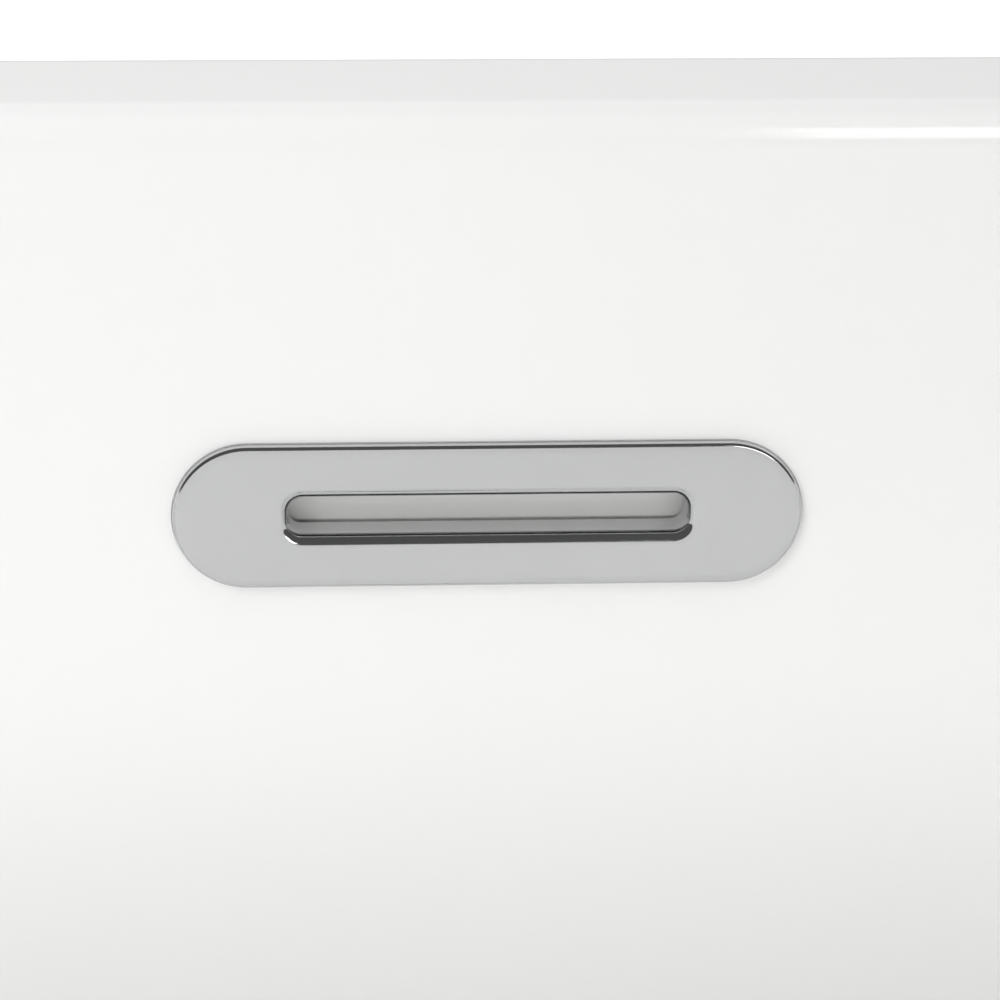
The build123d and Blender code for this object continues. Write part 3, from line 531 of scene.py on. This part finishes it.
web_top = SKIRT_Z[0]
web_bottom = web_top - WEB_THICKNESS
tongue_top = web_top + TONGUE_HEIGHT
foot_top = SKIRT_Z[3] + SKIRT_WALL
edge = 0.8 * MM
skirt_rings = [skirt_ring(1, FOOT_FLANGE), skirt_ring(1, edge)]
skirt_rings += [skirt_ring(1, 0.25 * edge, SKIRT_Z[3] + 0.3 * edge), skirt_ring(1 - edge)]
skirt_rings += [skirt_ring(t) for t in steps(0.99, 0.003, SKIRT_RINGS)]
skirt_rings += [skirt_ring(0.001, 0.25 * edge), skirt_ring(0, edge)]
skirt_rings += [skirt_ring(0, TONGUE_OUTSIDE), skirt_ring(0, TONGUE_OUTSIDE, tongue_top - edge)]
skirt_rings += [skirt_ring(0, TONGUE_OUTSIDE + edge, tongue_top)]
skirt_rings += [skirt_ring(0, TONGUE_INSIDE, tongue_top), skirt_ring(0, TONGUE_INSIDE, web_bottom)]
skirt_rings += [skirt_ring(0, SKIRT_WALL, web_bottom)]
skirt_rings += [skirt_ring(t, SKIRT_WALL) for t in steps(0.02, 0.985, SKIRT_RINGS)]
skirt_rings += [skirt_ring(1, SKIRT_WALL, foot_top), skirt_ring(1, FOOT_FLANGE, foot_top)]
skirt_rings.append(skirt_rings[0])
bm = bmesh.new()
skin(bm, skirt_rings)
close_rings(bm)
finish_piece(bm, "skirt_shell", "tub", ["skirt"], acrylic)

# --------------------------------------------------------------------------------------------------
# Rim seam seal: a bead of white sanitary sealant in the joint between the rim's lip and the skirt's top edge.
# It is gunned in all the way round and wiped flush. It keeps its CAD shape.
# --------------------------------------------------------------------------------------------------


def refinish(material, *nodes):
    """Gives this material to every slot of these CAD nodes."""
    for name in nodes:
        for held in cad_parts[name].material_slots:
            held.material = material


sealant, _ = drift_material(
    "sealant_white", (0.86, 0.86, 0.84), (0.82, 0.82, 0.79),
    scale=30, fine=400, roughness=0.42, drift=0.1, bump=0.1, depth=0.0002,
)
refinish(sealant, "rim_seam_seal")

# --------------------------------------------------------------------------------------------------
# Overflow trim: a slotted plate of chromed brass with a throat through the wall and two studs behind it.
# The plate sits on its gasket in a shallow landing in the wall, and is drawn down by nuts inside the box.
# --------------------------------------------------------------------------------------------------
PLATE_BACK = 0.8 * MM
PLATE_FACE = 3.4 * MM
PLATE_ROUND = 1.1 * MM
PLATE_BAND = 2.4 * MM
PLATE_DIP = 0.1 * MM
SLOT_HALF_LENGTH = 54 * MM
SLOT_HALF_HEIGHT = 5.25 * MM
SLOT_CORNER = 4 * MM
SLOT_ROUND = 3 * MM
THROAT = (57 * MM, 8.25 * MM, 7 * MM)
THROAT_END = -8.5 * MM
STUD_X = 74 * MM
STUD_RADIUS = 2.5 * MM
STUD_END = -17 * MM
STUD_OVERLAP = 0.4 * MM
STUD_SIDES = 24
PLATE_CHAMFER = 0.2 * MM
TRIM_ROUND_RINGS = 9
SLOT_DEPTHS = (-2 * MM, -5 * MM)
TRIM_STATIONS = outline_stations(0, 12, 24, 0)


def plate_ring(inset, out):
    """A ring that follows the plate's rounded ends and straight sides, at an inset from its edge."""
    half_height = PLATE_HALF_HEIGHT - inset
    return landing_ring(TRIM_STATIONS, PLATE_HALF_LENGTH - inset, half_height, half_height, out)


def slot_ring(grow, out):
    """A ring that follows the slot, wider than it by a set amount."""
    size = (SLOT_HALF_LENGTH + grow, SLOT_HALF_HEIGHT + grow, SLOT_CORNER + grow)
    return landing_ring(TRIM_STATIONS, *size, out)


plate_edge_top = PLATE_FACE - PLATE_DIP
trim_rings = [landing_ring(TRIM_STATIONS, *THROAT, PLATE_BACK)]
trim_rings += [plate_ring(PLATE_CHAMFER, PLATE_BACK), plate_ring(0, PLATE_BACK + PLATE_CHAMFER)]
for angle in steps(0, math.pi / 2, TRIM_ROUND_RINGS) + [math.pi / 2]:
    inset = PLATE_ROUND * (1 - math.cos(angle))
    trim_rings.append(plate_ring(inset, plate_edge_top - PLATE_ROUND * (1 - math.sin(angle))))
for share in (0.25, 0.5, 0.75, 1):
    rise = PLATE_DIP * share
    trim_rings.append(plate_ring(PLATE_ROUND + share * (PLATE_BAND - PLATE_ROUND), plate_edge_top + rise))
slot_mouth = slot_ring(SLOT_ROUND, PLATE_FACE)
trim_rings.append(plate_ring(PLATE_BAND + 0.5 * MM, PLATE_FACE))
trim_rings += [mixed_ring(trim_rings[-1], slot_mouth, share) for share in (0.33, 0.66, 0.95)]
for angle in steps(0, math.pi / 2, TRIM_ROUND_RINGS) + [math.pi / 2]:
    grow = SLOT_ROUND * (1 - math.sin(angle))
    trim_rings.append(slot_ring(grow, PLATE_FACE - SLOT_ROUND * (1 - math.cos(angle))))
trim_rings += [slot_ring(0, out) for out in SLOT_DEPTHS]
trim_rings += [slot_ring(0, THROAT_END), landing_ring(TRIM_STATIONS, *THROAT, THROAT_END)]
trim_rings.append(trim_rings[0])
bm = bmesh.new()
skin(bm, trim_rings)
close_rings(bm)
wall_turn = Vector((0, 0, 1)).rotation_difference(WALL_OUT).to_matrix().to_4x4()
for side in (-1, 1):
    middle = LANDING + ALONG * side * STUD_X + WALL_OUT * (PLATE_BACK + STUD_END) / 2
    bmesh.ops.create_cone(
        bm, cap_ends=True, segments=STUD_SIDES, radius1=STUD_RADIUS, radius2=STUD_RADIUS,
        depth=PLATE_BACK - STUD_END + STUD_OVERLAP, matrix=Matrix.Translation(middle) @ wall_turn,
    )
chrome, _ = drift_material(
    "chrome", (0.66, 0.665, 0.67), (0.62, 0.625, 0.63),
    scale=30, fine=120, roughness=0.10, drift=0.05, metallic=1.0,
)
finish_piece(bm, "overflow_plate", "tub", ["overflow_trim"], chrome)

# --------------------------------------------------------------------------------------------------
# Gaskets and washers: black rubber rings cut from sheet, and the plug's moulded seal.
# Each is squeezed between two pieces by the nut behind it. They keep their CAD shapes.
# --------------------------------------------------------------------------------------------------
rubber, _ = drift_material(
    "rubber_black", (0.022, 0.022, 0.023), (0.032, 0.031, 0.03),
    scale=60, fine=900, roughness=0.62, drift=0.2, bump=0.2, depth=0.0001,
)
refinish(rubber, "overflow_gasket", "overflow_box_gasket", "drain_gasket", "drain_washer")
refinish(rubber, "tailpiece_washer", "plug_seal")

# --------------------------------------------------------------------------------------------------
# Waste fittings: the overflow box, the tee, the tailpiece and its nut, injection moulded in white plastic.
# The box is bolted to the wall's back, the rest hangs from the drain. They keep their CAD shapes.
# --------------------------------------------------------------------------------------------------
plastic, _ = drift_material(
    "plastic_white", (0.90, 0.90, 0.89), (0.87, 0.87, 0.85),
    scale=25, fine=500, roughness=0.38, drift=0.12, bump=0.12, depth=0.00015,
)
refinish(plastic, "overflow_box", "overflow_baffle", "drain_tee", "drain_friction_ring")
refinish(plastic, "tailpiece", "slip_nut")

# --------------------------------------------------------------------------------------------------
# Overflow hose: a length of soft white waste hose from the overflow box down to the tee's side port.
# It is pushed over both spigots and held there by screw clamps. It keeps its CAD shape.
# --------------------------------------------------------------------------------------------------
hose, _ = drift_material(
    "hose_white", (0.74, 0.74, 0.71), (0.68, 0.68, 0.64),
    scale=14, fine=300, roughness=0.5, drift=0.15, bump=0.25, depth=0.0002,
)
refinish(hose, "overflow_hose")

# --------------------------------------------------------------------------------------------------
# Bright steel: the hose clamps' stainless bands and the plug's spring.
# The bands are rolled strip drawn up by a screw, the spring is drawn wire. They keep their CAD shapes.
# --------------------------------------------------------------------------------------------------
bright_steel, _ = drift_material(
    "steel_bright", (0.60, 0.60, 0.59), (0.50, 0.50, 0.49),
    scale=90, fine=700, roughness=0.24, drift=0.12, metallic=1.0,
)
refinish(bright_steel, "hose_clamp_upper", "hose_clamp_lower", "plug_spring")

# --------------------------------------------------------------------------------------------------
# Drain flange and plug: the chromed brass drain in the floor, and the domed cap that a tap of the foot lifts.
# The flange is screwed down on its gasket by the lock nut below, and the cap screws onto the brass stem.
# --------------------------------------------------------------------------------------------------
refinish(chrome, "drain_flange", "plug_cap")

# --------------------------------------------------------------------------------------------------
# Brass pieces under the floor: the drain's lock nut, and the plug's cartridge and stem.
# They are turned from bar and left bare, so they are dull and slightly tarnished. They keep their CAD shapes.
# --------------------------------------------------------------------------------------------------
brass, _ = drift_material(
    "brass", (0.72, 0.53, 0.24), (0.52, 0.38, 0.18),
    scale=70, fine=600, roughness=0.32, drift=0.18, metallic=1.0,
)
refinish(brass, "drain_lock_nut", "plug_cartridge", "plug_stem")

# --------------------------------------------------------------------------------------------------
# Plywood: the base board bonded under the floor, and the blocks bonded inside the skirt.
# Birch plywood, 12 mm, with its plies showing at the sawn edges. The pieces keep their CAD shapes.
# --------------------------------------------------------------------------------------------------
PLY_BANDS_PER_METRE = 330
plywood, tree, shader = new_material("plywood", (0.6, 0.42, 0.25), 0.62)
link = tree.links.new
place = tree.nodes.new("ShaderNodeTexCoord")
stretch = tree.nodes.new("ShaderNodeMapping")
stretch.inputs["Scale"].default_value = (6, 90, 90)
link(place.outputs["Object"], stretch.inputs["Vector"])
grain = add_node(tree, "TexNoise", Scale=1.0, Detail=6.0, Distortion=0.6)
link(stretch.outputs["Vector"], grain.inputs["Vector"])
face_tone = tree.nodes.new("ShaderNodeValToRGB")
face_tone.color_ramp.elements[0].position = 0.3
face_tone.color_ramp.elements[0].color = (0.50, 0.33, 0.18, 1)
face_tone.color_ramp.elements[1].position = 0.75
face_tone.color_ramp.elements[1].color = (0.72, 0.54, 0.34, 1)
link(grain.outputs["Fac"], face_tone.inputs["Fac"])
plies = tree.nodes.new("ShaderNodeTexWave")
plies.bands_direction = "Z"
plies.inputs["Scale"].default_value = PLY_BANDS_PER_METRE / 3
plies.inputs["Distortion"].default_value = 0.4
link(place.outputs["Object"], plies.inputs["Vector"])
edge_tone = tree.nodes.new("ShaderNodeMix")
edge_tone.data_type = "RGBA"
edge_tone.inputs["A"].default_value = (0.30, 0.18, 0.09, 1)
edge_tone.inputs["B"].default_value = (0.66, 0.48, 0.30, 1)
link(plies.outputs["Fac"], edge_tone.inputs["Factor"])
facing = tree.nodes.new("ShaderNodeSeparateXYZ")
link(place.outputs["Normal"], facing.inputs["Vector"])
flatness = tree.nodes.new("ShaderNodeMath")
flatness.operation = "ABSOLUTE"
link(facing.outputs["Z"], flatness.inputs[0])
face_or_edge = tree.nodes.new("ShaderNodeMix")
face_or_edge.data_type = "RGBA"
link(flatness.outputs["Value"], face_or_edge.inputs["Factor"])
link(edge_tone.outputs["Result"], face_or_edge.inputs["A"])
link(face_tone.outputs["Color"], face_or_edge.inputs["B"])
link(face_or_edge.outputs["Result"], shader.inputs["Base Color"])
fibre = add_node(tree, "Bump", Strength=0.25, Distance=0.0004)
link(grain.outputs["Fac"], fibre.inputs["Height"])
link(fibre.outputs["Normal"], shader.inputs["Normal"])
refinish(plywood, "base_board", "skirt_blocks")

# --------------------------------------------------------------------------------------------------
# Frame: two rails and four cross rails of 30 mm square steel tube, welded and powder coated satin black.
# It is screwed up into the base board, and the feet screw into nuts welded under its outer cross rails.
# --------------------------------------------------------------------------------------------------
black_steel, _ = drift_material(
    "steel_black", (0.028, 0.028, 0.03), (0.04, 0.04, 0.042),
    scale=20, fine=1100, roughness=0.44, drift=0.15, bump=0.35, depth=0.0002,
)
refinish(black_steel, "frame_rail_front", "frame_rail_rear")
refinish(black_steel, *[f"frame_cross_{number}" for number in range(1, 5)])

# --------------------------------------------------------------------------------------------------
# Fasteners and foot screws: wood screws, nuts and the feet's threaded studs, zinc plated.
# The plating is thin and a little cloudy. They keep their CAD shapes.
# --------------------------------------------------------------------------------------------------
zinc, _ = drift_material(
    "steel_zinc", (0.56, 0.57, 0.60), (0.46, 0.47, 0.48),
    scale=130, fine=900, roughness=0.34, drift=0.16, metallic=0.95,
)
refinish(zinc, "block_screws", "board_screws", "foot_weld_nuts", "foot_lock_nuts", "overflow_nuts")
refinish(zinc, *[f"foot_stud_{number}" for number in range(1, 5)])

# --------------------------------------------------------------------------------------------------
# Foot pads: black glass-filled nylon pads, each with a socket for the ball of its foot screw.
# They stand on the floor while the screws turn in them. They keep their CAD shapes.
# --------------------------------------------------------------------------------------------------
nylon, _ = drift_material(
    "nylon_black", (0.024, 0.024, 0.025), (0.034, 0.034, 0.035),
    scale=60, fine=800, roughness=0.46, drift=0.16, bump=0.25, depth=0.0002,
)
refinish(nylon, *[f"foot_pad_{number}" for number in range(1, 5)])

# --------------------------------------------------------------------------------------------------
# Stage: a plain near-white floor that glows a little, so that it reads as white, with soft lights round
# the tub and a long-lens camera that looks down at the overflow.
# --------------------------------------------------------------------------------------------------
FLOOR_HALF_SIZE = 9.0
FLOOR_GLOW = 0.45
SKY_GLOW = 0.10
bm = bmesh.new()
bmesh.ops.create_grid(bm, x_segments=1, y_segments=1, size=FLOOR_HALF_SIZE)
floor_mesh = bpy.data.meshes.new("floor")
bm.to_mesh(floor_mesh)
bm.free()
floor_material, _, floor_shader = new_material("floor_white", (0.90, 0.90, 0.90), 0.7)
floor_shader.inputs["Emission Color"].default_value = (1, 1, 1, 1)
floor_shader.inputs["Emission Strength"].default_value = FLOOR_GLOW
floor_mesh.materials.append(floor_material)
floor = bpy.data.objects.new("floor", floor_mesh)
bpy.context.scene.collection.objects.link(floor)

world = bpy.data.worlds.new("studio")
bpy.context.scene.world = world
world.use_nodes = True
sky = world.node_tree.nodes["Background"]
sky.inputs["Color"].default_value = (1, 1, 1, 1)
sky.inputs["Strength"].default_value = SKY_GLOW


def soft_light(name, place, target, width, height, power, seen_in_gloss):
    """A large rectangular light aimed at a point."""
    light = bpy.data.lights.new(name, "AREA")
    light.shape = "RECTANGLE"
    light.size = width
    light.size_y = height
    light.energy = power
    lamp = bpy.data.objects.new(name, light)
    lamp.location = place
    lamp.rotation_euler = (Vector(target) - Vector(place)).to_track_quat("-Z", "Y").to_euler()
    lamp.visible_glossy = seen_in_gloss
    lamp.visible_camera = False
    bpy.context.scene.collection.objects.link(lamp)


# Name, place, target, width, height, power in watts, and whether reflections show it
LIGHTS = (
    ("front_key", (-0.75, -2.5, 1.31), (0, 0.34, 0.45), 2.6, 0.42, 26, False),
    ("top_fill", (0, 0.2, 3.2), (0, 0.2, 0), 2.6, 2.6, 33.5, False),
    ("back_fill", (0, 3.0, 2.3), (0, -0.2, 0.35), 2.6, 1.4, 58, False),
    ("left_fill", (-0.6, -0.3, 1.3), (-0.1, 0.34, 0.47), 0.5, 0.5, 3.7, False),
    ("right_fill", (3.2, -0.4, 1.6), (0, 0, 0.4), 1.8, 1.8, 1, False),
    ("side_window", (1.04, -2.6, 1.34), (0.1, 0.36, 0.57), 1.12, 0.6, 9, True),
)
for light in LIGHTS:
    soft_light(*light)

CAMERA_AZIMUTH = math.radians(-4.3)
CAMERA_ELEVATION = math.radians(28.2)
CAMERA_ROLL = math.radians(1.44)
CAMERA_DISTANCE = 1.2
CAMERA_LENS = 160.6
CAMERA_SENSOR = 36
AIM_ALONG = 3.0 * MM
AIM_UP = 4.57 * MM
target = LANDING + WALL_OUT * PLATE_FACE + ALONG * AIM_ALONG + WALL_UP * AIM_UP
toward = Vector((
    math.sin(CAMERA_AZIMUTH) * math.cos(CAMERA_ELEVATION),
    -math.cos(CAMERA_AZIMUTH) * math.cos(CAMERA_ELEVATION),
    math.sin(CAMERA_ELEVATION),
))
lens = bpy.data.cameras.new("camera")
lens.lens = CAMERA_LENS
lens.sensor_width = CAMERA_SENSOR
lens.clip_start = 0.01
camera = bpy.data.objects.new("camera", lens)
camera.location = target + toward * CAMERA_DISTANCE
camera.rotation_euler = (
    (-toward).to_track_quat("-Z", "Y") @ Quaternion((0, 0, 1), CAMERA_ROLL)
).to_euler()
bpy.context.scene.collection.objects.link(camera)
bpy.context.scene.camera = camera
bpy.context.scene.view_settings.view_transform = "Standard"
